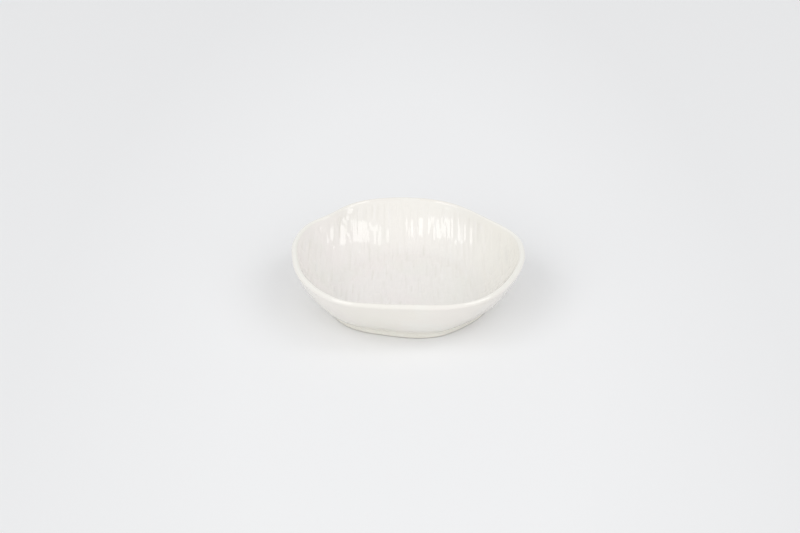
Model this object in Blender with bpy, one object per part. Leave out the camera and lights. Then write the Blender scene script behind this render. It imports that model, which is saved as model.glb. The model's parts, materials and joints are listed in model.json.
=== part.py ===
"""Tapas plate: a small pebble-shaped ceramic dish with a flared wall, standing on a foot ring.

Metres, +Z up. The dish stands on z = 0, with the middle of its bounding box on the Z axis.
Every piece is first turned as part of a round dish of RIM_RADIUS. Its points are then pushed out
and in, from the round foot up to the lip's uneven pebble outline, so that the pieces keep fitting.
"""

import math

import bmesh
import bpy
import numpy as np
from mathutils import Vector

# Driving sizes of the finished, glazed dish
RIM_RADIUS = 0.0602
HEIGHT = 0.028
LIP = 0.0031  # thickness of the lip
OUTER_CURVE = 0.050  # radius of the wall's outer face, from the foot up to the lip
INNER_CURVE = 0.060  # radius of the wall's inner face, from the floor up to the lip
FLOOR = 0.0030  # thickness of the floor
FLOOR_INSET = 0.0044  # from the foot's outer side in to the floor's edge
FLOOR_BEND = 0.0040  # how far the bend between floor and wall runs each way from that edge
FOOT_RADIUS = 0.0422
FOOT_WIDTH = 0.0042
FOOT_HEIGHT = 0.0034
FOOT_EDGE = 0.0007  # round on the foot's standing edges
GLAZE = 0.0003  # thickness of the glaze coats
CLEARANCE = 0.0003  # gap that is kept between pieces that touch

# The pebble outline: how far the lip stands outside RIM_RADIUS, by compass angle in degrees
LIP_OUTLINE = (
    (0, 0.0000), (14, 0.0000), (40, -0.0041), (70, 0.0005), (98, 0.0016), (119, 0.0018),
    (136, -0.0008), (152, 0.0010), (172, 0.0004), (188, -0.0005), (210, 0.0012),
    (238, 0.0034), (254, 0.0002), (272, -0.0017), (302, 0.0037), (335, 0.0002),
)
# How far the foot stands outside FOOT_RADIUS, by the same angle
FOOT_OUTLINE = (
    (0, 0.0000), (90, 0.0000), (165, 0.0006), (213, 0.0014), (228, 0.0014), (255, -0.0010),
    (290, 0.0013), (312, 0.0002), (335, 0.0007),
)
# The lip's uneven height: how far its crest stands above HEIGHT, by the same angle
LIP_WAVE = (
    (0, 0.0000), (35, 0.0000), (62, -0.0006), (90, -0.0003), (110, 0.0000), (133, -0.0003),
    (160, 0.0002), (205, -0.0001), (233, 0.0003), (252, 0.0005), (275, 0.0002), (305, 0.0003),
)

# How finely the round stretches are cut
TURN_STEPS = 64
LIP_STEPS = 8
BEND_STEPS = 5
WALL_STEPS = 5
EDGE_STEPS = 3

# Levels and places that follow from the sizes
BASE_Z = FOOT_HEIGHT + CLEARANCE
FLOOR_Z = FOOT_HEIGHT + FLOOR
COAT = GLAZE + CLEARANCE
LIP_RADIUS = LIP / 2
LIP_CENTRE = Vector((RIM_RADIUS - LIP_RADIUS, HEIGHT - LIP_RADIUS))
FOOT_CORNER = Vector((FOOT_RADIUS, FOOT_HEIGHT))
FLOOR_CORNER = Vector((FOOT_RADIUS - FLOOR_INSET, FLOOR_Z))


def clear_scene():
    for old in list(bpy.data.objects):
        bpy.data.objects.remove(old)


def around(knots, angle):
    """A smooth closed curve through (degrees, value) knots, read at an angle in radians."""
    degrees = math.degrees(angle) % 360
    before = max(i for i, knot in enumerate(knots) if knot[0] <= degrees)
    near = [knots[(before + i) % len(knots)] for i in (-1, 0, 1, 2)]
    start = near[1][0]
    turned = [(knot[0] - start + 180) % 360 - 180 for knot in near]
    slopes = [
        (near[i + 1][1] - near[i - 1][1]) / (turned[i + 1] - turned[i - 1]) for i in (1, 2)
    ]
    span = turned[2]
    t = (degrees - start) / span
    return (
        near[1][1] * (1 + 2 * t) * (1 - t) ** 2
        + slopes[0] * span * t * (1 - t) ** 2
        + near[2][1] * t**2 * (3 - 2 * t)
        - slopes[1] * span * t**2 * (1 - t)
    )


def outline_middle():
    """The middle of the lip outline's bounding box, seen from above."""
    angles = np.linspace(0, math.tau, TURN_STEPS, endpoint=False)
    radii = [RIM_RADIUS + around(LIP_OUTLINE, a) for a in angles]
    lip = np.column_stack((np.cos(angles) * radii, np.sin(angles) * radii))
    return Vector((lip.max(axis=0) + lip.min(axis=0)) / 2)


def push_to_pebble(bm):
    """Moves a round piece's points out and in, from the foot's outline to the lip's."""
    middle = outline_middle()
    for vert in bm.verts:
        angle = math.atan2(vert.co.y, vert.co.x)
        rise = max(0, vert.co.z - FOOT_HEIGHT) / (HEIGHT - FOOT_HEIGHT)
        lip_push = rise * around(LIP_OUTLINE, angle) / RIM_RADIUS
        foot_push = (1 - rise) * around(FOOT_OUTLINE, angle) / FOOT_RADIUS
        flat = vert.co.xy * (1 + lip_push + foot_push) - middle
        lift = max(0, vert.co.z - FLOOR_Z) / (HEIGHT - FLOOR_Z)
        vert.co = (flat.x, flat.y, vert.co.z + lift**2 * around(LIP_WAVE, angle))


def ray(angle):
    return Vector((math.cos(angle), math.sin(angle)))


class Arc:
    """An arc from a corner up to where it runs smoothly into the lip's round, bulging outwards.

    Its centre lies inside the dish, one radius from the corner and lip_distance from the lip's centre.
    """

    def __init__(self, corner, radius, lip_distance):
        reach = LIP_CENTRE - corner
        forward = reach.normalized()
        inward = Vector((-forward.y, forward.x))
        along = (radius**2 - lip_distance**2 + reach.length_squared) / (2 * reach.length)
        self.centre = corner + forward * along + inward * math.sqrt(radius**2 - along**2)
        self.radius = radius
        to_lip = LIP_CENTRE - self.centre
        self.top = math.atan2(to_lip.y, to_lip.x)

    def point(self, angle, outward=0):
        return self.centre + ray(angle) * (self.radius + outward)

    def angle_at(self, level, outward=0):
        return math.asin((level - self.centre.y) / (self.radius + outward))

    def run(self, start, end, outward=0):
        turn = (end - start) / WALL_STEPS
        return [self.point(start + turn * i, outward) for i in range(WALL_STEPS + 1)]


class Section:
    """The finished dish cut from its middle to its foot: radius and height of each point, in order."""

    def __init__(self):
        self.inner = Arc(FLOOR_CORNER, INNER_CURVE, INNER_CURVE + LIP_RADIUS)
        self.outer = Arc(FOOT_CORNER, OUTER_CURVE, OUTER_CURVE - LIP_RADIUS)

    def inside(self, sunk):
        """From the middle of the floor to the lip's inner side, sunk below the finished face."""
        level = FLOOR_Z - sunk
        corner_angle = self.inner.angle_at(level, sunk)
        bend_angle = corner_angle + FLOOR_BEND / INNER_CURVE
        bend_from = self.inner.point(corner_angle, sunk) - Vector((FLOOR_BEND, 0))
        bend_to = self.inner.point(bend_angle, sunk)
        elbow = Vector((bend_to.x + (bend_to.y - level) * math.tan(bend_angle), level))
        points = [Vector((0, level)), Vector((bend_from.x / 2, level))]
        for i in range(BEND_STEPS):
            t = i / BEND_STEPS
            points.append(bend_from * (1 - t) ** 2 + elbow * 2 * t * (1 - t) + bend_to * t**2)
        return points + self.inner.run(bend_angle, self.inner.top, sunk)

    def lip(self, sunk, gap=0):
        """Over the lip's round crest, from a gap past its inner side to its outer side."""
        start = self.inner.top + math.pi - gap / LIP_RADIUS
        turn = (self.outer.top - start) / LIP_STEPS
        return [
            LIP_CENTRE + ray(start + turn * i) * (LIP_RADIUS - sunk) for i in range(LIP_STEPS + 1)
        ]

    def outside(self, sunk, level):
        """Down the wall's outer face, from the lip to a level just above the foot."""
        return self.outer.run(self.outer.top, self.outer.angle_at(level, -sunk), -sunk)


def joined(*runs):
    """Runs of section points as one list, without the points where one run repeats another."""
    points = []
    for point in (p for run in runs for p in run):
        if not points or (point - points[-1]).length > CLEARANCE / 10:
            points.append(point)
    return points


def turned_piece(name, points, material, closed):
    """A section turned about Z and pushed to the pebble outline; an open section ends on the axis."""
    bm = bmesh.new()
    verts = [bm.verts.new((p.x, 0, p.y)) for p in points]
    pairs = list(zip(verts, verts[1:]))
    if closed:
        pairs.append((verts[-1], verts[0]))
    edges = [bm.edges.new(pair) for pair in pairs]
    bmesh.ops.spin(
        bm, geom=verts + edges, axis=(0, 0, 1), cent=(0, 0, 0),
        angle=math.tau, steps=TURN_STEPS, use_merge=True,
    )
    bmesh.ops.remove_doubles(bm, verts=bm.verts, dist=CLEARANCE / 100)
    bmesh.ops.recalc_face_normals(bm, faces=bm.faces)
    push_to_pebble(bm)
    mesh = bpy.data.meshes.new(name)
    bm.to_mesh(mesh)
    bm.free()
    mesh.shade_smooth()
    mesh.set_sharp_from_angle(angle=math.radians(40))
    mesh.materials.append(material)
    piece = bpy.data.objects.new(name, mesh)
    bpy.context.scene.collection.objects.link(piece)
    return piece


def finish(name, colour, roughness):
    material = bpy.data.materials.new(name)
    material.use_nodes = True
    shader = material.node_tree.nodes["Principled BSDF"]
    shader.inputs["Base Color"].default_value = (*colour, 1)
    shader.inputs["Roughness"].default_value = roughness
    shader.inputs["Metallic"].default_value = 0
    return material


def dish_body(section, clay):
    """The fired clay shell: floor, flared wall and round lip, flat underneath."""
    points = joined(
        section.inside(COAT),
        section.lip(COAT),
        section.outside(COAT, BASE_Z),
        [Vector((0, BASE_Z))],
    )
    return turned_piece("dish_body", points, clay, closed=False)


def foot_ring(clay):
    """The bare clay ring under the floor, with rounded edges on its standing face."""
    inner, outer = FOOT_RADIUS - FOOT_WIDTH, FOOT_RADIUS
    points = [Vector((inner, FOOT_HEIGHT)), Vector((outer, FOOT_HEIGHT))]
    for centre, first in ((outer - FOOT_EDGE, 0), (inner + FOOT_EDGE, -90)):
        for i in range(EDGE_STEPS + 1):
            angle = math.radians(first - 90 * i / EDGE_STEPS)
            points.append(Vector((centre, FOOT_EDGE)) + ray(angle) * FOOT_EDGE)
    return turned_piece("foot_ring", points, clay, closed=True)


def inner_glaze(section, glaze):
    """The coat over the floor and the inside of the wall, up to the lip."""
    face, back = section.inside(0), section.inside(GLAZE)
    return turned_piece("inner_glaze", face + back[::-1], glaze, closed=False)


def outer_glaze(section, glaze):
    """The coat over the lip and down the outside of the wall, to just above the foot."""
    face = joined(section.lip(0, CLEARANCE), section.outside(0, BASE_Z))
    back = joined(section.lip(GLAZE, CLEARANCE), section.outside(GLAZE, BASE_Z))
    return turned_piece("outer_glaze", face + back[::-1], glaze, closed=True)


def base_glaze(glaze):
    """The patch of coat under the floor, inside the foot ring."""
    radius = FOOT_RADIUS - FOOT_WIDTH - CLEARANCE
    low, high = FOOT_HEIGHT - GLAZE, FOOT_HEIGHT
    points = [Vector(p) for p in ((0, high), (radius, high), (radius, low), (0, low))]
    return turned_piece("base_glaze", points, glaze, closed=False)


def main():
    clear_scene()
    section = Section()
    clay = finish("bare_clay", (0.80, 0.77, 0.71), 0.75)
    pearl = finish("pearl_glaze", (0.86, 0.83, 0.80), 0.10)
    white = finish("white_glaze", (0.86, 0.84, 0.80), 0.12)
    dish_body(section, clay)
    foot_ring(clay)
    inner_glaze(section, pearl)
    outer_glaze(section, white)
    base_glaze(white)


main()
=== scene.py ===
"""The looks of the tapas plate: brushed and glazed inside, smooth lip and outside, bare clay foot.

The smooth faces are read back from the CAD solids, so every piece follows the frame. The inside is a
grid whose columns run from front to back, as the brushed strokes do, and the strokes are modelled in it.
"""

import json
import math
from collections import namedtuple

import bmesh
import bpy
import numpy as np
from mathutils import Matrix, Vector


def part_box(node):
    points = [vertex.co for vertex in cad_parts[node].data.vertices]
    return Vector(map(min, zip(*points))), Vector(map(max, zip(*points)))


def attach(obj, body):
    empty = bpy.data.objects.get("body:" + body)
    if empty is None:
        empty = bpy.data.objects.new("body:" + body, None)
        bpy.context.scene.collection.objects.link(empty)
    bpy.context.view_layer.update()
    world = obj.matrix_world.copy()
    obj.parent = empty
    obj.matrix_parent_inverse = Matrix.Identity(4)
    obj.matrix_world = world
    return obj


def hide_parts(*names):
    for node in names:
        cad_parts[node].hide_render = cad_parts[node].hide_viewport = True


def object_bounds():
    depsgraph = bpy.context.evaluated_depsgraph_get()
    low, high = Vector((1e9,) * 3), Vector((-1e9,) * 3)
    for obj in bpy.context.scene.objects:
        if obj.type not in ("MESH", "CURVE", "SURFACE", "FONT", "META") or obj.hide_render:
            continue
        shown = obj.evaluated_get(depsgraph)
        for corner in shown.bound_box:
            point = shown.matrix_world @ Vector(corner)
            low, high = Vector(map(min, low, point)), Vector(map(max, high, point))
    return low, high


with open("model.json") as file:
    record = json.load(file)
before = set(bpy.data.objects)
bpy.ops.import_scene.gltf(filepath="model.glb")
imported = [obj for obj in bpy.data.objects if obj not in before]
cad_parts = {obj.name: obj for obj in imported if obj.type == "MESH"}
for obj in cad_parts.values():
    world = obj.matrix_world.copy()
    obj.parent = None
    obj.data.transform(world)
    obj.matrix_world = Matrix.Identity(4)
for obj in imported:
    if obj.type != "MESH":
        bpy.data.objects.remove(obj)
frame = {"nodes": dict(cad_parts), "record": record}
cad_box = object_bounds()

BODY = "root"
SEED = 66
MM = 0.001
WELD = MM / 1000  # points of a solid that are closer than this are one point

# The carved relief of the inside: marks that run from front to back in lanes side by side.
# A gap is what lies between two marks in a lane, and marks overlap where it is below zero.
# Calm is how much of a mark's depth the quiet patches take away.
Marks = namedtuple("Marks", "lane width length gap depth calm")
STROKES = Marks(3.2 * MM, (2.4 * MM, 5.6 * MM), (8 * MM, 19 * MM), (-4 * MM, 0), 0.40 * MM, 0)
FINE_CUTS = Marks(2.6 * MM, (0.9 * MM, 2.4 * MM), (7 * MM, 18 * MM), (3 * MM, 18 * MM), 0.06 * MM, 0.8)
FINE_RIDGES = Marks(3.0 * MM, (0.9 * MM, 2.2 * MM), (7 * MM, 18 * MM), (4 * MM, 20 * MM), 0.06 * MM, 0.8)
STRAY = 0.4  # how far a mark may lie off its lane, as a share of the lane's width
STRENGTH = (0.4, 1)  # the least and the most of the full depth that a mark has
SKEW = 0.7  # how far the deepest line of a mark may lie off its middle, as a share of its half width
BLUNTNESS = 4  # the power by which a mark runs out towards its ends
STROKE_LEVEL = 0.13 * MM  # how deep the strokes are on the whole, which the face is raised by
CARVED_REACH = 70 * MM  # how far the marks are carved to the front and to the back
CARVED_STEP = 0.25 * MM
WANDER = 0.45 * MM  # how far the strokes sway from straight
WANDER_ROOM = 12 * MM  # plan distance from the left and right ends over which the swaying comes in
LIP_BAND = 0.5 * MM  # plan width of the plain band below the lip
LIP_FADE = 1.3 * MM  # plan distance over which the lip's shoulder runs out and the strokes come in
LIP_ZONE = 1.6 * MM  # the lip's inner edge lies within this of the top

# Gentle unevenness, as the sum of a few waves with lengths between these
Waves = namedtuple("Waves", "count shortest longest")
QUIET_WAVES = Waves(4, 18 * MM, 45 * MM)
WANDER_WAVES = Waves(5, 22 * MM, 48 * MM)
OUTSIDE_WAVES = Waves(6, 14 * MM, 40 * MM)
FOOT_WAVES = Waves(5, 9 * MM, 30 * MM)

# The coats and how finely they are cut
COAT = 0.4 * MM
FLOOR_SHARES = (0, 0.5)  # where the flat floor gets points of its own, as shares of its radius
INSIDE_ROWS = 160
BACK_ROWS = 24
COLUMN_STEP = 0.27 * MM
COLUMN_SAMPLES = 80  # the places at which a column's length is measured
POLE_STEPS = 12  # how many steps between columns narrow towards the left and the right end
POLE_REACH = 2.5 * MM  # plan distance from either end in which they do
OUTLINE_STEPS = 2880
SEAM_ROUNDS = 6  # how often the place where a swaying column meets the seam is worked out anew
SHARED_POINTS = 3  # the last points of the inside's section, which lead the outside's section in
LIP_POINTS = 9  # the points of the outside's section that make up the lip
LIP_RINGS = 24
WALL_RINGS = 16
BACK_RINGS = 6
OUTSIDE_UNEVEN = 0.07 * MM
UNEVEN_START = 0.12  # share of the outside's section, from the seam, over which it gets uneven
UNEVEN_END = 0.1  # share of the outside's section over which it gets even again above the foot
LIP_FLATS = 0.08 * MM  # how far the lip's two shoulders are flattened, and its crest drawn up
LIP_LIGHT_FRONT = 0.25  # how much painted light the lip's front and back get, where its sides get 1
SHARP_EDGE = math.radians(50)  # an edge that turns by more than this is shaded sharp

# How far the wall sags over the foot: on the whole, more to the left by, and at the foot's front
SAG = 1.15 * MM
LEFT_SAG = 0.35 * MM
FRONT_SAG = 0.5 * MM
FOOT_FRONT = math.radians(272)  # counted from the right towards the back
FRONT_REACH = math.radians(60)  # how far round from there the front's sag turns into the rest's
SAG_SHARES = (0.35, 0.8, 1, 1)  # how much of the sag the last points of the outside's section take

# The foot and the base
FOOT_EDGE_ACROSS = 1.2 * MM
FOOT_EDGE_UP = 0.55 * MM
FOOT_UNEVEN = 0.06 * MM
FOOT_COLUMNS = 360
FOOT_OUTER_SHARES = (0.25, 0.5, 0.75)  # points of its outer side, as shares from the top to its edge
FOOT_INNER_SHARES = (0.3, 0.6)  # points of its inner side, as shares from its edge to the top
FOOT_SHARP_EDGE = math.radians(60)
QUARTER_TURN = range(0, 91, 15)  # the degrees at which a round edge has its points
BASE_POOL = 0.9 * MM  # how far the base glaze climbs the foot's inner side
BASE_GAP = 0.05 * MM  # what is left between the base glaze and the foot
PINHOLE = 0.0001  # the share of its radius at which the base ends in the middle
BASE_TOP_SHARES = (PINHOLE, 0.5, 1)
BASE_UNDER_SHARES = (0.9, 0.75, 0.5, 0.25, PINHOLE)

# The photograph's camera
LENS = 75
SENSOR = 36
ELEVATION = math.radians(29)
CAMERA_DISTANCE = 0.8617
CAMERA_TARGET = Vector((-4.15, -3.63, 19.17)) * MM

rng = np.random.default_rng(SEED)


def smooth(t):
    """An even rise from 0 to 1 as t goes from 0 to 1."""
    t = np.clip(t, 0, 1)
    return t * t * (3 - 2 * t)


# Reading the smooth faces back from the CAD solids

def welded(node):
    """A CAD solid with its faces joined at their shared points."""
    bm = bmesh.new()
    bm.from_mesh(frame["nodes"][node].data)
    bmesh.ops.remove_doubles(bm, verts=bm.verts, dist=WELD)
    return bm


def read_floor():
    """The middle of the dish's floor, which lies on the axis that it was turned on, and the turn steps.

    The floor is flat, so its only points are those round its edge, one for each turn step.
    """
    mounts = {mount["name"]: mount for mount in frame["record"]["mounts"]}
    middle = Vector(mounts["serving_floor"]["pos_m"])
    bm = welded("inner_glaze")
    edge = [vert for vert in bm.verts if abs(vert.co.z - middle.z) < WELD]
    bm.free()
    return middle, len(edge)


FLOOR_MIDDLE, TURN_STEPS = read_floor()
AXIS = FLOOR_MIDDLE.xy


def polar(x, y):
    """Distance from the turning axis, and angle round it, of places in plan."""
    return np.hypot(x - AXIS.x, y - AXIS.y), np.arctan2(y - AXIS.y, x - AXIS.x)


def turned_columns(bm):
    """A solid's points, sorted by turn step."""
    columns = [[] for _ in range(TURN_STEPS)]
    for vert in bm.verts:
        reach = vert.co.xy - AXIS
        turn = math.atan2(reach.y, reach.x) / math.tau * TURN_STEPS
        columns[round(turn) % TURN_STEPS].append(vert)
    return columns


def finished_face(node, first):
    """Radius and height of a coat's finished face at each turn step, in order along its section.

    A section starts at the point for which first is least, and half of its points are the finished
    face, the other half the coat's back, which is left out.
    """
    bm = welded(node)
    sections = []
    for column in turned_columns(bm):
        face = [min(column, key=first)]
        while len(face) < len(column) // 2:
            near = [edge.other_vert(face[-1]) for edge in face[-1].link_edges]
            onward = [vert for vert in near if vert in column and vert not in face]
            face.append(max(onward, key=lambda vert: vert.co.z))
        sections.append([((vert.co.xy - AXIS).length, vert.co.z) for vert in face])
    bm.free()
    return np.array(sections)


def around(values, angles):
    """Values at even turn steps, as smooth closed curves read at other angles."""
    waves = np.fft.rfft(values, axis=0) / TURN_STEPS
    waves[1:-1] *= 2
    turns = np.exp(1j * np.outer(angles, np.arange(len(waves))))
    return (turns @ waves).real


def along(knots, values, places):
    """A smooth curve through each row of knots and values, read at that row's place."""
    last = knots.shape[1] - 1
    rows = np.arange(len(places))
    start = np.clip((knots <= places[:, None]).sum(axis=1) - 1, 0, last - 1)

    def slope(index):
        before, after = np.maximum(index - 1, 0), np.minimum(index + 1, last)
        return (values[rows, after] - values[rows, before]) / (knots[rows, after] - knots[rows, before])

    span = knots[rows, start + 1] - knots[rows, start]
    t = (places - knots[rows, start]) / span
    return (
        values[rows, start] * (1 + 2 * t) * (1 - t) ** 2
        + slope(start) * span * t * (1 - t) ** 2
        + values[rows, start + 1] * t**2 * (3 - 2 * t)
        - slope(start + 1) * span * t**2 * (1 - t)
    )


def inside_face():
    """The inside from the middle of the floor to the lip, with the flat floor's own points put back."""
    wall = finished_face("inner_glaze", lambda vert: abs(vert.co.z - FLOOR_MIDDLE.z))
    floor = [wall[:, :1] * (share, 1) for share in FLOOR_SHARES]
    return np.concatenate((*floor, wall), axis=1)


def foot_limits():
    """The foot ring's inner and outer radius at each turn step."""
    bm = welded("foot_ring")
    reaches = [[(vert.co.xy - AXIS).length for vert in column] for column in turned_columns(bm)]
    bm.free()
    return np.array([(min(row), max(row)) for row in reaches])


def wall_sag():
    """How far the wall hangs down over the foot at each turn step."""
    turn = np.arange(TURN_STEPS) / TURN_STEPS * math.tau
    off_front = np.abs((turn - FOOT_FRONT + math.pi) % math.tau - math.pi)
    sag = SAG - LEFT_SAG * np.cos(turn)
    return FRONT_SAG + (sag - FRONT_SAG) * smooth(off_front / FRONT_REACH)


def outside_face():
    """The lip and the outside, from just past the inside's edge down to the side of the foot.

    It starts at the innermost point of the lip: a point below the lip counts as a metre further out.
    """
    lip_low = cad_box[1].z - LIP_ZONE
    wall = finished_face("outer_glaze", lambda vert: (vert.co.xy - AXIS).length + (vert.co.z < lip_low))
    before, last = wall[:, -2], wall[:, -1]
    slope = (before[:, 1] - last[:, 1]) / (before[:, 0] - last[:, 0])
    foot = FOOT[:, 1]
    end = np.column_stack((foot, last[:, 1] - (last[:, 0] - foot) * slope))
    face = np.concatenate((wall, end[:, None]), axis=1)
    face[:, -len(SAG_SHARES):, 1] -= np.outer(wall_sag(), SAG_SHARES)
    return face


FOOT = foot_limits()
INSIDE, OUTSIDE = inside_face(), outside_face()


def inside_height(x, y):
    """Height of the plain inside over places in plan."""
    reach, angle = polar(x, y)
    return along(around(INSIDE[..., 0], angle), around(INSIDE[..., 1], angle), reach)


def seam_radius(angles):
    """Radius where the inside meets the lip."""
    return around(INSIDE[:, -1:, 0], angles)[:, 0]


# Small helpers

def sways(x, y, waves):
    """A gentle uneven field over the plan, about -1 to 1, from (x length, y length, phase) waves."""
    total = sum(np.sin(x / long_x + y / long_y + phase) for long_x, long_y, phase in waves)
    return total / len(waves)


def random_waves(kind):
    """Waves of one kind, in random directions."""
    shape = (kind.count, 2)
    lengths = rng.uniform(kind.shortest, kind.longest, shape) * rng.choice((-1, 1), shape)
    phases = rng.uniform(0, math.tau, kind.count)
    return [(*pair, phase) for pair, phase in zip(lengths / math.tau, phases)]


def lip_flats(normals):
    """How far a rounded lip moves out to get two flatter shoulders, by how steeply its face looks up.

    This runs out on the faces that look down.
    """
    tilt = normals[..., 2]
    return LIP_FLATS * np.cos(4 * np.arcsin(tilt)) * smooth(1 + 2 * tilt)


def make_piece(name, points, faces, replaced, material, sharp=SHARP_EDGE):
    """A piece of the dish that stands for a CAD node."""
    mesh = bpy.data.meshes.new(name)
    mesh.from_pydata([tuple(point) for point in points], [], faces)
    mesh.validate()
    bm = bmesh.new()
    bm.from_mesh(mesh)
    bmesh.ops.recalc_face_normals(bm, faces=bm.faces)
    bm.to_mesh(mesh)
    bm.free()
    mesh.shade_smooth()
    mesh.set_sharp_from_angle(angle=sharp)
    mesh.materials.append(material)
    piece = bpy.data.objects.new(name, mesh)
    bpy.context.scene.collection.objects.link(piece)
    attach(piece, BODY)
    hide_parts(replaced)
    return piece


def painted(piece, name, values):
    """The piece with a value at each of its first points, and none at the rest, for its material."""
    every = np.zeros(len(piece.data.vertices), np.float32)
    every[:values.size] = values.ravel()
    piece.data.attributes.new(name, "FLOAT", "POINT").data.foreach_set("value", every)
    return piece


def grid_normals(grid, wraps):
    """Unit normals of a grid of points; wraps says that its first and last columns are neighbours."""
    if wraps:
        across = np.roll(grid, -1, axis=0) - np.roll(grid, 1, axis=0)
    else:
        across = np.gradient(grid, axis=0)
    normals = np.cross(across, np.gradient(grid, axis=1))
    return normals / np.linalg.norm(normals, axis=2, keepdims=True)


# The brushed inside

class Carving:
    """A field of marks over straight columns and places along them, before they sway.

    height is the relief, and the other field says how thick the glaze lies, from -1 on the fine ridges
    to 1 in the fine cuts; it also sets painted light on the fine ridges and painted shade in the fine
    cuts.
    """

    def __init__(self, columns):
        self.columns = columns
        self.places = np.arange(-CARVED_REACH, CARVED_REACH, CARVED_STEP)
        self.quiet = random_waves(QUIET_WAVES)
        strokes, cuts, ridges = (self.carved(marks) for marks in (STROKES, FINE_CUTS, FINE_RIDGES))
        self.height = STROKE_LEVEL - strokes - cuts + ridges
        # glaze that pools in the fine cuts and runs thinner on the fine ridges, also painted shade in
        # the cuts and painted light on the ridges
        self.pooled_and_shaded = cuts / cuts.max() - ridges / ridges.max()

    def carved(self, marks):
        """Depth of the marks; where two marks overlap, the deeper one counts."""
        depth = np.zeros((len(self.columns), len(self.places)))
        for lane in np.arange(self.columns[0], self.columns[-1], marks.lane):
            place = self.places[0] - rng.uniform(0, marks.length[1])
            while place < self.places[-1]:
                middle = lane + marks.lane * rng.uniform(-STRAY, STRAY)
                half = rng.uniform(*marks.width) / 2
                length = rng.uniform(*marks.length)
                loud = smooth(0.5 + sways(middle, place, self.quiet))
                strength = rng.uniform(*STRENGTH) * (1 - marks.calm * (1 - loud))
                rows, run, shape = self.hollow(middle, half, place, length)
                depth[rows, run] = np.maximum(depth[rows, run], strength * marks.depth * shape)
                place += length + rng.uniform(*marks.gap)
        return depth

    def hollow(self, middle, half, place, length):
        """The columns and places that one mark takes up, and its shape there.

        It has two flat sides, which meet somewhere off its middle.
        """
        rows = slice(*np.searchsorted(self.columns, (middle - half, middle + half)))
        run = slice(*np.searchsorted(self.places, (place, place + length)))
        side = (self.columns[rows] - middle) / half
        skew = rng.uniform(-SKEW, SKEW)
        across = np.minimum((1 + side) / (1 + skew), (1 - side) / (1 - skew))
        lengthwise = 1 - (2 * (self.places[run] - place) / length - 1) ** BLUNTNESS
        return rows, run, np.outer(across, lengthwise)

    def read(self, field, places):
        """A field along every column, at that column's own places."""
        return np.array([np.interp(y, self.places, line) for y, line in zip(places, field)])


class Outline:
    """The seam between the inside and the lip, seen from above, as a front and a back edge."""

    def __init__(self):
        angles = np.linspace(0, math.tau, OUTLINE_STEPS, endpoint=False)
        radii = seam_radius(angles)
        x, y = AXIS.x + np.cos(angles) * radii, AXIS.y + np.sin(angles) * radii
        left, right = int(np.argmin(x)), int(np.argmax(x))
        self.left, self.right = (x[left], y[left]), (x[right], y[right])
        turned = np.roll(np.column_stack((x, y)), -left, axis=0)
        split = (right - left) % len(x)
        self.front = turned[:split + 1]
        self.back = np.vstack((turned[split:], turned[:1]))[::-1]

    def front_at(self, x):
        return np.interp(x, self.front[:, 0], self.front[:, 1])

    def back_at(self, x):
        return np.interp(x, self.back[:, 0], self.back[:, 1])


class InsideGrid:
    """Swaying columns of points over the inside, from the front of the seam to its back."""

    def __init__(self):
        self.outline = Outline()
        self.waves = random_waves(WANDER_WAVES)
        low, high = self.outline.left[0], self.outline.right[0]
        reach = POLE_REACH * (np.arange(1, POLE_STEPS) / POLE_STEPS) ** 2
        middle = np.arange(low + POLE_REACH, high - POLE_REACH, COLUMN_STEP)
        self.columns = np.concatenate((low + reach, middle, high - reach[::-1]))

    def swayed(self, column, y):
        """Where a straight column runs in plan: it keeps still near the left and right ends."""
        room = np.minimum(column - self.outline.left[0], self.outline.right[0] - column)
        return column + WANDER * smooth(room / WANDER_ROOM) * sways(column, y, self.waves)

    def ends(self):
        """The front and the back end of every column on the seam."""
        front = back = 0
        for _ in range(SEAM_ROUNDS):
            front = self.outline.front_at(self.swayed(self.columns, front))
            back = self.outline.back_at(self.swayed(self.columns, back))
        return front, back

    def rows(self, count):
        """Points of every column at even steps along the face, as plan places."""
        grid = []
        for column, front, back in zip(self.columns, *self.ends()):
            y = np.linspace(front, back, COLUMN_SAMPLES)
            x = self.swayed(column, y)
            steps = np.sqrt(np.diff(x) ** 2 + np.diff(y) ** 2 + np.diff(inside_height(x, y)) ** 2)
            travelled = np.concatenate(([0], np.cumsum(steps)))
            even = np.interp(np.linspace(0, travelled[-1], count), travelled, y)
            grid.append(np.column_stack((self.swayed(column, even), even)))
        return np.array(grid)

    def face(self, count):
        """The plain face as a grid of points, with its normals."""
        plan = self.rows(count)
        x, y = plan[..., 0], plan[..., 1]
        height = inside_height(x.ravel(), y.ravel()).reshape(x.shape)
        grid = np.dstack((x, y, height))
        return grid, grid_normals(grid, wraps=False)

    def poles(self):
        """The seam's leftmost and rightmost points."""
        ends = []
        for x, y in (self.outline.left, self.outline.right):
            ends.append((x, y, inside_height(np.array([x]), np.array([y]))[0]))
        return np.array(ends)

    def seam_angles(self):
        """Angles of the seam's points round the axis, in order round the dish."""
        front, back = (np.column_stack((self.swayed(self.columns, y), y)) for y in self.ends())
        loop = np.vstack((self.outline.left, front, self.outline.right, back[::-1]))
        return polar(loop[:, 0], loop[:, 1])[1]


def lens_faces(columns, rows, first, poles):
    """Faces of a grid of columns that closes to a point at either end."""
    def at(column, row):
        return first + column * rows + row

    faces = []
    for row in range(rows - 1):
        faces.append((poles[0], at(0, row), at(0, row + 1)))
        faces.append((poles[1], at(columns - 1, row + 1), at(columns - 1, row)))
        for column in range(columns - 1):
            faces.append((
                at(column, row), at(column + 1, row), at(column + 1, row + 1), at(column, row + 1),
            ))
    return faces


def seam_loop(columns, rows, first, poles):
    """The grid's points on the seam, in order round the dish."""
    front = [first + column * rows for column in range(columns)]
    back = [first + column * rows + rows - 1 for column in range(columns)]
    return [poles[0], *front, poles[1], *back[::-1]]


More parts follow.
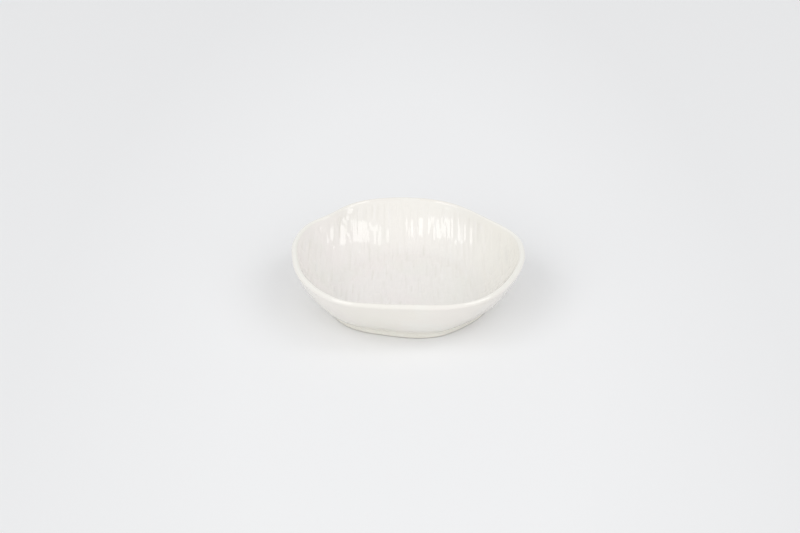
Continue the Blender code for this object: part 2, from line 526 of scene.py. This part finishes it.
def strip(loop, other):
    """Faces between two closed loops of as many points."""
    count = len(loop)
    return [
        (loop[i], loop[(i + 1) % count], other[(i + 1) % count], other[i]) for i in range(count)
    ]


def brushed_inside(grid, material):
    """The inner coat with its strokes, and its plain back."""
    face, normals = grid.face(INSIDE_ROWS)
    reach, angle = polar(face[..., 0].ravel(), face[..., 1].ravel())
    inset = (seam_radius(angle) - reach).reshape(face.shape[:2])
    fade = smooth((inset - LIP_BAND) / LIP_FADE)
    shoulder = lip_flats(normals) * smooth(1 - inset / LIP_FADE)
    carving = Carving(grid.columns)
    relief = carving.read(carving.height, face[..., 1])
    pooled_and_shaded = carving.read(carving.pooled_and_shaded, face[..., 1])
    face = face + normals * (relief * fade + shoulder)[..., None]
    back, back_normals = grid.face(BACK_ROWS)
    back = back - back_normals * COAT
    poles = grid.poles()
    low_poles = poles - (0, 0, COAT)
    columns = len(grid.columns)
    first_back = columns * INSIDE_ROWS
    first_pole = first_back + columns * BACK_ROWS
    points = np.vstack((face.reshape(-1, 3), back.reshape(-1, 3), poles, low_poles))
    top_poles, back_poles = (first_pole, first_pole + 1), (first_pole + 2, first_pole + 3)
    faces = lens_faces(columns, INSIDE_ROWS, 0, top_poles)
    faces += lens_faces(columns, BACK_ROWS, first_back, back_poles)
    faces += strip(
        seam_loop(columns, INSIDE_ROWS, 0, top_poles),
        seam_loop(columns, BACK_ROWS, first_back, back_poles),
    )
    piece = make_piece("brushed_inside", points, faces, "inner_glaze", material)
    # painted shade in the fine cuts and painted light on the fine ridges, along with how the glaze lies
    # there
    return painted(piece, "pooled_and_shaded", pooled_and_shaded * fade)


# The lip and the outside

def outside_rings(angles, lip_rings, wall_rings):
    """The face from the seam over the lip and down to the foot, as a grid of points.

    Beside it comes each ring's place along the section, as a share of the way from the seam.
    """
    lead_in = INSIDE[:, -SHARED_POINTS:]
    knots_r = np.column_stack((around(lead_in[..., 0], angles), around(OUTSIDE[..., 0], angles)))
    knots_z = np.column_stack((around(lead_in[..., 1], angles), around(OUTSIDE[..., 1], angles)))
    steps = np.hypot(np.diff(knots_r, axis=1), np.diff(knots_z, axis=1)).mean(axis=0)
    travelled = np.concatenate(([0], np.cumsum(steps)))
    knots = np.tile(travelled, (len(angles), 1))
    seam = travelled[SHARED_POINTS - 1]
    lip_end = travelled[SHARED_POINTS - 1 + LIP_POINTS]
    stops = np.concatenate((
        np.linspace(seam, lip_end, lip_rings, endpoint=False),
        np.linspace(lip_end, travelled[-1], wall_rings),
    ))
    grid = []
    for stop in stops:
        place = np.full(len(angles), stop)
        radius, height = along(knots, knots_r, place), along(knots, knots_z, place)
        grid.append(np.column_stack((
            AXIS.x + np.cos(angles) * radius, AXIS.y + np.sin(angles) * radius, height,
        )))
    return np.array(grid).transpose(1, 0, 2), (stops - seam) / (travelled[-1] - seam)


def smooth_outside(grid, material):
    """The outer coat over the lip and the wall, with a hand-made unevenness."""
    angles = grid.seam_angles()
    face, shares = outside_rings(angles, LIP_RINGS, WALL_RINGS)
    normals = -grid_normals(face, wraps=True)
    waves = random_waves(OUTSIDE_WAVES)
    uneven = sways(face[..., 0] + face[..., 2], face[..., 1] - face[..., 2], waves)
    fade = smooth(shares / UNEVEN_START) * smooth((1 - shares) / UNEVEN_END)
    face = face + normals * (OUTSIDE_UNEVEN * uneven * fade + lip_flats(normals))[..., None]
    # painted light: the lip is paler where it faces up, most on its left and right sides
    sides = LIP_LIGHT_FRONT + (1 - LIP_LIGHT_FRONT) * np.cos(angles) ** 2
    painted_lip_light = smooth(normals[..., 2]) * sides[:, None]
    back, _ = outside_rings(angles, BACK_RINGS, BACK_RINGS)
    back = back + grid_normals(back, wraps=True) * COAT
    columns, rings, back_rings = len(angles), LIP_RINGS + WALL_RINGS, 2 * BACK_RINGS
    first_back = columns * rings
    points = np.vstack((face.reshape(-1, 3), back.reshape(-1, 3)))

    def loop(first, count, ring):
        return [first + column * count + ring for column in range(columns)]

    faces = []
    for first, count in ((0, rings), (first_back, back_rings)):
        for ring in range(count - 1):
            faces += strip(loop(first, count, ring), loop(first, count, ring + 1))
    faces += strip(loop(0, rings, 0), loop(first_back, back_rings, 0))
    faces += strip(loop(0, rings, rings - 1), loop(first_back, back_rings, back_rings - 1))
    piece = make_piece("smooth_outside", points, faces, "outer_glaze", material)
    return painted(piece, "painted_lip_light", painted_lip_light)


# The foot and the base

def turned_ring(angles, sections):
    """Points and faces of a closed ring with the same number of section points at every angle."""
    count, per = len(angles), len(sections[0])
    points = []
    for angle, section in zip(angles, sections):
        for radius, height in section:
            points.append((AXIS.x + math.cos(angle) * radius, AXIS.y + math.sin(angle) * radius, height))
    faces = []
    for i in range(count):
        j = (i + 1) % count
        for k in range(per):
            m = (k + 1) % per
            faces.append((i * per + k, i * per + m, j * per + m, j * per + k))
    return points, faces


def foot_section(r_in, r_out, edge, high, push):
    """The foot's section from its top, down its outer side, round both edges and up its inner side.

    The push moves the middle of the outer side out or in.
    """
    section = [(r_in, high), (r_out, high)]
    for share in FOOT_OUTER_SHARES:
        section.append((r_out + push * math.sin(math.pi * share), high - share * (high - edge)))
    for centre, first in ((r_out - FOOT_EDGE_ACROSS, 0), (r_in + FOOT_EDGE_ACROSS, -90)):
        for degrees in QUARTER_TURN:
            turn = math.radians(first - degrees)
            section.append((
                centre + math.cos(turn) * FOOT_EDGE_ACROSS, edge + math.sin(turn) * FOOT_EDGE_UP,
            ))
    return section + [(r_in, edge + share * (high - edge)) for share in FOOT_INNER_SHARES]


def round_foot(material):
    """The bare clay ring, with soft edges and a slightly uneven side, up to behind the wall's coat."""
    angles = np.linspace(0, math.tau, FOOT_COLUMNS, endpoint=False)
    inner, outer = around(FOOT, angles).T
    edge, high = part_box("foot_ring")[0].z + FOOT_EDGE_UP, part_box("outer_glaze")[0].z
    waves = random_waves(FOOT_WAVES)
    sections = []
    for angle, r_in, r_out in zip(angles, inner, outer):
        push = FOOT_UNEVEN * sways(math.cos(angle) * r_out, math.sin(angle) * r_out, waves)
        sections.append(foot_section(r_in, r_out, edge, high, push))
    points, faces = turned_ring(angles, sections)
    return make_piece("round_foot", points, faces, "foot_ring", material, FOOT_SHARP_EDGE)


def pooled_base(material):
    """The coat under the floor, which pools up the foot's inner side."""
    angles = np.linspace(0, math.tau, FOOT_COLUMNS // 2, endpoint=False)
    inner = around(FOOT[:, 0], angles)
    low, high = (corner.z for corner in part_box("base_glaze"))
    sections = []
    for r_in in inner - BASE_GAP:
        section = [(r_in * share, high) for share in BASE_TOP_SHARES]
        section += [
            (r_in - BASE_POOL * (1 - math.cos(turn)), low - BASE_POOL * (1 - math.sin(turn)))
            for turn in np.radians(QUARTER_TURN)
        ]
        section += [(r_in * share, low) for share in BASE_UNDER_SHARES]
        sections.append(section)
    points, faces = turned_ring(angles, sections)
    return make_piece("pooled_base", points, faces, "base_glaze", material)


# Materials

WARM_WHITE = (0.905, 0.878, 0.85)
ROSY_WHITE = (0.905, 0.865, 0.842)
CREAM_WHITE = (0.868, 0.843, 0.782)
LINEN_WHITE = (0.895, 0.876, 0.83)
SHELL_WHITE = (0.868, 0.835, 0.79)
STRAW_WHITE = (0.89, 0.87, 0.805)
GREEN_WHITE = (0.88, 0.87, 0.825)
# Darker in the fine cuts and paler on the fine ridges: glaze that pools and runs thinner, and painted
# shade and painted light
POOLED_SHADE_WHITE = (0.82, 0.80, 0.75)
THIN_LIT_WHITE = (0.92, 0.90, 0.875)
# the lip's painted light
LIT_LIP_WHITE = (0.93, 0.92, 0.865)
CLAY = (0.90, 0.885, 0.82)
DEEP_CLAY = (0.87, 0.85, 0.78)
SPECKS = (0.62, 0.57, 0.48)
# darker along the standing edge: a stain, with painted contact shadow
SHADOWED_STAINED_CLAY = (0.46, 0.42, 0.35)

# A ramp turns a factor, such as a noise, an attribute or a place along an axis, into a number that
# goes from low to high as the factor goes from start to end.
Ramp = namedtuple("Ramp", "start end low high", defaults=(0, 1))
DRIFT = Ramp(0.35, 0.6)
GREEN_PATCHES = Ramp(0.5, 0.7, 0, 0.8)
BACK_LINEN = Ramp(24 * MM, 54 * MM, 0, 0.9)
RIGHT_GREEN = Ramp(2 * MM, 26 * MM, 0, 0.6)
RIGHT_STRAW = Ramp(28 * MM, 52 * MM, 0, 0.9)
# painted shade in the fine cuts and painted light on the fine ridges, with the glaze's pooling
POOLED_SHADED_CUTS = Ramp(0, 1)
THIN_LIT_RIDGES = Ramp(-1, 0, 1, 0)
GLAZE_ROUGHNESS = Ramp(0.3, 0.7, 0.04, 0.09)
CLAY_DRIFT = Ramp(0.3, 0.7)
CLAY_SPECKS = Ramp(0.62, 0.72, 0, 0.4)
# the stain and painted contact shadow along the standing edge
CLAY_STAIN_AND_SHADOW = Ramp(0.2 * MM, 0.5 * MM, 1, 0)
CLAY_ROUGHNESS = Ramp(0.3, 0.7, 0.6, 0.85)
# where the floor's painted light dims
FLOOR_LIGHT_FALLOFF = Ramp(90 * MM, 190 * MM)

GLAZE_IOR = 1.65
PEEL_DEPTH = 0.02 * MM
HAIR_DEPTH = 0.006 * MM
HAIR_SCALE = (1500, 90, 90)  # the fine hairs run along Y, as the strokes do
GRAIN_DEPTH = 0.04 * MM

# The numbers of a Mix node's sockets for colours, because its sockets share their names
MIX_FACTOR, MIX_FIRST, MIX_SECOND, MIX_RESULT = 0, 6, 7, 2


class Nodes:
    """A material's node tree, with short calls for the nodes that the finishes share."""

    def __init__(self, name):
        self.material = bpy.data.materials.new(name)
        self.material.use_nodes = True
        self.tree = self.material.node_tree
        self.shader = self.tree.nodes["Principled BSDF"]
        self.place = self.tree.nodes.new("ShaderNodeTexCoord").outputs["Object"]

    def link(self, source, target):
        self.tree.links.new(source, target)

    def stretched(self, stretch):
        """Every place, with each axis stretched by its own number."""
        node = self.tree.nodes.new("ShaderNodeMapping")
        node.inputs["Scale"].default_value = stretch
        self.link(self.place, node.inputs["Vector"])
        return node.outputs["Vector"]

    def noise(self, scale, detail=3, stretch=(1, 1, 1)):
        node = self.tree.nodes.new("ShaderNodeTexNoise")
        node.inputs["Scale"].default_value = scale
        node.inputs["Detail"].default_value = detail
        self.link(self.stretched(stretch), node.inputs["Vector"])
        return node.outputs["Fac"]

    def reach(self, stretch):
        """A place's distance from the middle, after a stretch."""
        node = self.tree.nodes.new("ShaderNodeVectorMath")
        node.operation = "LENGTH"
        self.link(self.stretched(stretch), node.inputs[0])
        return node.outputs["Value"]

    def axis(self, name):
        """A place's distance along one axis."""
        node = self.tree.nodes.new("ShaderNodeSeparateXYZ")
        self.link(self.place, node.inputs["Vector"])
        return node.outputs[name]

    def attribute(self, name):
        """A value that is painted on the piece's points."""
        node = self.tree.nodes.new("ShaderNodeAttribute")
        node.attribute_name = name
        return node.outputs["Fac"]

    def between(self, factor, ramp):
        """The ramp's number for a factor."""
        node = self.tree.nodes.new("ShaderNodeMapRange")
        for socket, value in zip(("From Min", "From Max", "To Min", "To Max"), ramp):
            node.inputs[socket].default_value = value
        self.link(factor, node.inputs["Value"])
        return node.outputs["Result"]

    def blend(self, factor, first, second):
        """One colour into another; a colour is three numbers or another node's output."""
        node = self.tree.nodes.new("ShaderNodeMix")
        node.data_type = "RGBA"
        self.link(factor, node.inputs[MIX_FACTOR])
        for socket, colour in ((node.inputs[MIX_FIRST], first), (node.inputs[MIX_SECOND], second)):
            if isinstance(colour, tuple):
                socket.default_value = (*colour, 1)
            else:
                self.link(colour, socket)
        return node.outputs[MIX_RESULT]

    def bump(self, height, depth, under=None):
        """The face's normal with a fine relief, over another relief if there is one."""
        node = self.tree.nodes.new("ShaderNodeBump")
        node.inputs["Distance"].default_value = depth
        node.inputs["Strength"].default_value = 1
        self.link(height, node.inputs["Height"])
        if under:
            self.link(under, node.inputs["Normal"])
        return node.outputs["Normal"]

    def finish(self, colour, roughness, normal):
        """The finished material."""
        self.link(colour, self.shader.inputs["Base Color"])
        self.link(roughness, self.shader.inputs["Roughness"])
        self.link(normal, self.shader.inputs["Normal"])
        return self.material


def drifting_white(nodes, first, second):
    """A white that drifts slowly from one tint to another, as lustre does, and greenish in patches."""
    tint = nodes.blend(nodes.between(nodes.noise(scale=34), DRIFT), first, second)
    return nodes.blend(nodes.between(nodes.noise(scale=57), GREEN_PATCHES), tint, GREEN_WHITE)


def pearl_glaze():
    """The glaze inside: linen up the back wall, greenish to the right and straw up the right wall.

    It is darker in the fine cuts, where the glaze pools, with painted shade, and paler on the fine
    ridges, where the glaze runs thinner, with painted light.
    """
    nodes = Nodes("pearl_glaze")
    linen = nodes.between(nodes.axis("Y"), BACK_LINEN)
    tint = nodes.blend(linen, drifting_white(nodes, WARM_WHITE, ROSY_WHITE), LINEN_WHITE)
    green = nodes.between(nodes.axis("X"), RIGHT_GREEN)
    straw = nodes.between(nodes.axis("X"), RIGHT_STRAW)
    tint = nodes.blend(straw, nodes.blend(green, tint, GREEN_WHITE), STRAW_WHITE)
    # painted shade in the fine cuts and painted light on the fine ridges, along with the glaze that
    # pools there
    thickness_and_shade = nodes.attribute("pooled_and_shaded")
    tint = nodes.blend(nodes.between(thickness_and_shade, POOLED_SHADED_CUTS), tint, POOLED_SHADE_WHITE)
    colour = nodes.blend(nodes.between(thickness_and_shade, THIN_LIT_RIDGES), tint, THIN_LIT_WHITE)
    roughness = nodes.between(nodes.noise(scale=130), GLAZE_ROUGHNESS)
    peel = nodes.bump(nodes.noise(scale=330, detail=2), PEEL_DEPTH)
    hairs = nodes.bump(nodes.noise(scale=1, stretch=HAIR_SCALE), HAIR_DEPTH, peel)
    nodes.shader.inputs["IOR"].default_value = GLAZE_IOR
    return nodes.finish(colour, roughness, hairs)


def white_glaze():
    """The glaze of the lip and the outside, with painted light that makes the lip paler where it faces
    up.
    """
    nodes = Nodes("white_glaze")
    tint = drifting_white(nodes, CREAM_WHITE, SHELL_WHITE)
    # painted light on the up-facing lip
    colour = nodes.blend(nodes.attribute("painted_lip_light"), tint, LIT_LIP_WHITE)
    roughness = nodes.between(nodes.noise(scale=110), GLAZE_ROUGHNESS)
    peel = nodes.bump(nodes.noise(scale=260, detail=2), PEEL_DEPTH)
    nodes.shader.inputs["IOR"].default_value = GLAZE_IOR
    return nodes.finish(colour, roughness, peel)


def bare_clay():
    """Pale clay with fine specks, darker along the edge that it stands on: a stain there, with painted
    contact shadow.
    """
    nodes = Nodes("bare_clay")
    body = nodes.blend(nodes.between(nodes.noise(scale=90, detail=5), CLAY_DRIFT), CLAY, DEEP_CLAY)
    specked = nodes.blend(nodes.between(nodes.noise(scale=1400, detail=2), CLAY_SPECKS), body, SPECKS)
    # a stain and painted contact shadow along the edge that it stands on
    colour = nodes.blend(nodes.between(nodes.axis("Z"), CLAY_STAIN_AND_SHADOW), specked, SHADOWED_STAINED_CLAY)
    roughness = nodes.between(nodes.noise(scale=400), CLAY_ROUGHNESS)
    grain = nodes.bump(nodes.noise(scale=2600, detail=4), GRAIN_DEPTH)
    return nodes.finish(colour, roughness, grain)


# The stage, the light and the camera

# Painted light on the floor: brighter near the dish, dimmer further away
LIT_NEAR_FLOOR = (0.922, 0.928, 0.938)
DIM_FAR_FLOOR = (0.878, 0.883, 0.893)
FLOOR_STRETCH = (1, 0.35, 1)  # the floor's painted light dims more slowly from front to back than sideways
FLOOR_ROUGHNESS = 0.9
FLOOR_GLOSS = 0.2
FLOOR_REACH = 8
ROUND_LIGHT = 0.64  # how bright the world is as a light
SEEN_LIGHT = 0.84  # how bright the world is where it is seen or mirrored

# Lamps stand round the dish. The azimuth is counted from the viewer's side, positive to the right,
# and both angles are in degrees. A fill lights the dish but is left out of what it mirrors.
Lamp = namedtuple("Lamp", "name size azimuth elevation brightness")
FILL_SIZE = (3.6, 3.0)
SOFTBOXES = (
    Lamp("right_softbox", (3.3, 1.6), 78, 49, 1.65),
    Lamp("left_softbox", (2.8, 1.6), -67, 49, 1.85),
)
FILLS = (
    Lamp("right_fill", FILL_SIZE, 40, 28, 1.04),
    Lamp("left_fill", FILL_SIZE, -40, 28, 1.48),
)
LAMP_DISTANCE = 5.0
LEAN = 0.27  # how far the outer end of a lamp is swung back


def pale_floor():
    """A plain floor with painted light, brighter near the dish and dimming slowly away from it."""
    mesh = bpy.data.meshes.new("floor")
    corners = [(x * FLOOR_REACH, y * FLOOR_REACH, 0) for x, y in ((-1, -1), (1, -1), (1, 1), (-1, 1))]
    mesh.from_pydata(corners, [], [(0, 1, 2, 3)])
    nodes = Nodes("pale_floor")
    far = nodes.between(nodes.reach(FLOOR_STRETCH), FLOOR_LIGHT_FALLOFF)
    nodes.link(nodes.blend(far, LIT_NEAR_FLOOR, DIM_FAR_FLOOR), nodes.shader.inputs["Base Color"])
    nodes.shader.inputs["Roughness"].default_value = FLOOR_ROUGHNESS
    nodes.shader.inputs["Specular IOR Level"].default_value = FLOOR_GLOSS
    mesh.materials.append(nodes.material)
    floor = bpy.data.objects.new("floor", mesh)
    bpy.context.scene.collection.objects.link(floor)


def studio_world():
    """Even light from all round, and a pale background to be seen and mirrored."""
    world = bpy.data.worlds.new("studio")
    bpy.context.scene.world = world
    world.use_nodes = True
    tree = world.node_tree
    background = tree.nodes["Background"]
    background.inputs["Color"].default_value = (1, 1, 1, 1)
    rays = tree.nodes.new("ShaderNodeLightPath")
    seen = rays.outputs["Is Camera Ray"]
    for kind in ("Is Glossy Ray", "Is Transmission Ray"):
        either = tree.nodes.new("ShaderNodeMath")
        either.operation = "MAXIMUM"
        tree.links.new(seen, either.inputs[0])
        tree.links.new(rays.outputs[kind], either.inputs[1])
        seen = either.outputs["Value"]
    level = tree.nodes.new("ShaderNodeMapRange")
    level.inputs["To Min"].default_value = ROUND_LIGHT
    level.inputs["To Max"].default_value = SEEN_LIGHT
    tree.links.new(seen, level.inputs["Value"])
    tree.links.new(level.outputs["Result"], background.inputs["Strength"])


def soft_lamp(name, size, azimuth, elevation, brightness):
    """A long soft lamp that faces the dish, with its outer end lower and further back."""
    azimuth, elevation = math.radians(azimuth), math.radians(elevation)
    away = Vector((
        math.sin(azimuth) * math.cos(elevation),
        -math.cos(azimuth) * math.cos(elevation),
        math.sin(elevation),
    ))
    light = bpy.data.lights.new(name, "AREA")
    light.shape = "RECTANGLE"
    light.size, light.size_y = size
    light.energy = brightness * math.pi * light.size * light.size_y
    lamp = bpy.data.objects.new(name, light)
    lamp.location = away * LAMP_DISTANCE
    outwards = Vector((math.copysign(1, azimuth), LEAN, 0))
    long_side = (outwards - away * away.dot(outwards)).normalized()
    lamp.rotation_euler = Matrix((long_side, away.cross(long_side), away)).transposed().to_euler()
    bpy.context.scene.collection.objects.link(lamp)
    return lamp


def photo_camera():
    """The camera at the photograph's place, in front of the dish and above it."""
    camera = bpy.data.cameras.new("camera")
    camera.lens = LENS
    camera.sensor_width = SENSOR
    view = bpy.data.objects.new("camera", camera)
    forward = Vector((0, math.cos(ELEVATION), -math.sin(ELEVATION)))
    view.location = CAMERA_TARGET - forward * CAMERA_DISTANCE
    view.rotation_euler = forward.to_track_quat("-Z", "Y").to_euler()
    bpy.context.scene.collection.objects.link(view)
    bpy.context.scene.camera = view


def dress_the_dish():
    """The four pieces that show, over the clay body, which stays as it is in a new finish."""
    grid = InsideGrid()
    pearl, white, clay = pearl_glaze(), white_glaze(), bare_clay()
    brushed_inside(grid, pearl)
    smooth_outside(grid, white)
    round_foot(clay)
    pooled_base(white)
    body = frame["nodes"]["dish_body"]
    body.data.materials.clear()
    body.data.materials.append(clay)


def set_the_stage():
    bpy.context.scene.view_settings.view_transform = "Standard"
    pale_floor()
    studio_world()
    for lamp in SOFTBOXES:
        soft_lamp(*lamp)
    for lamp in FILLS:
        soft_lamp(*lamp).visible_glossy = False
    photo_camera()


dress_the_dish()
set_the_stage()
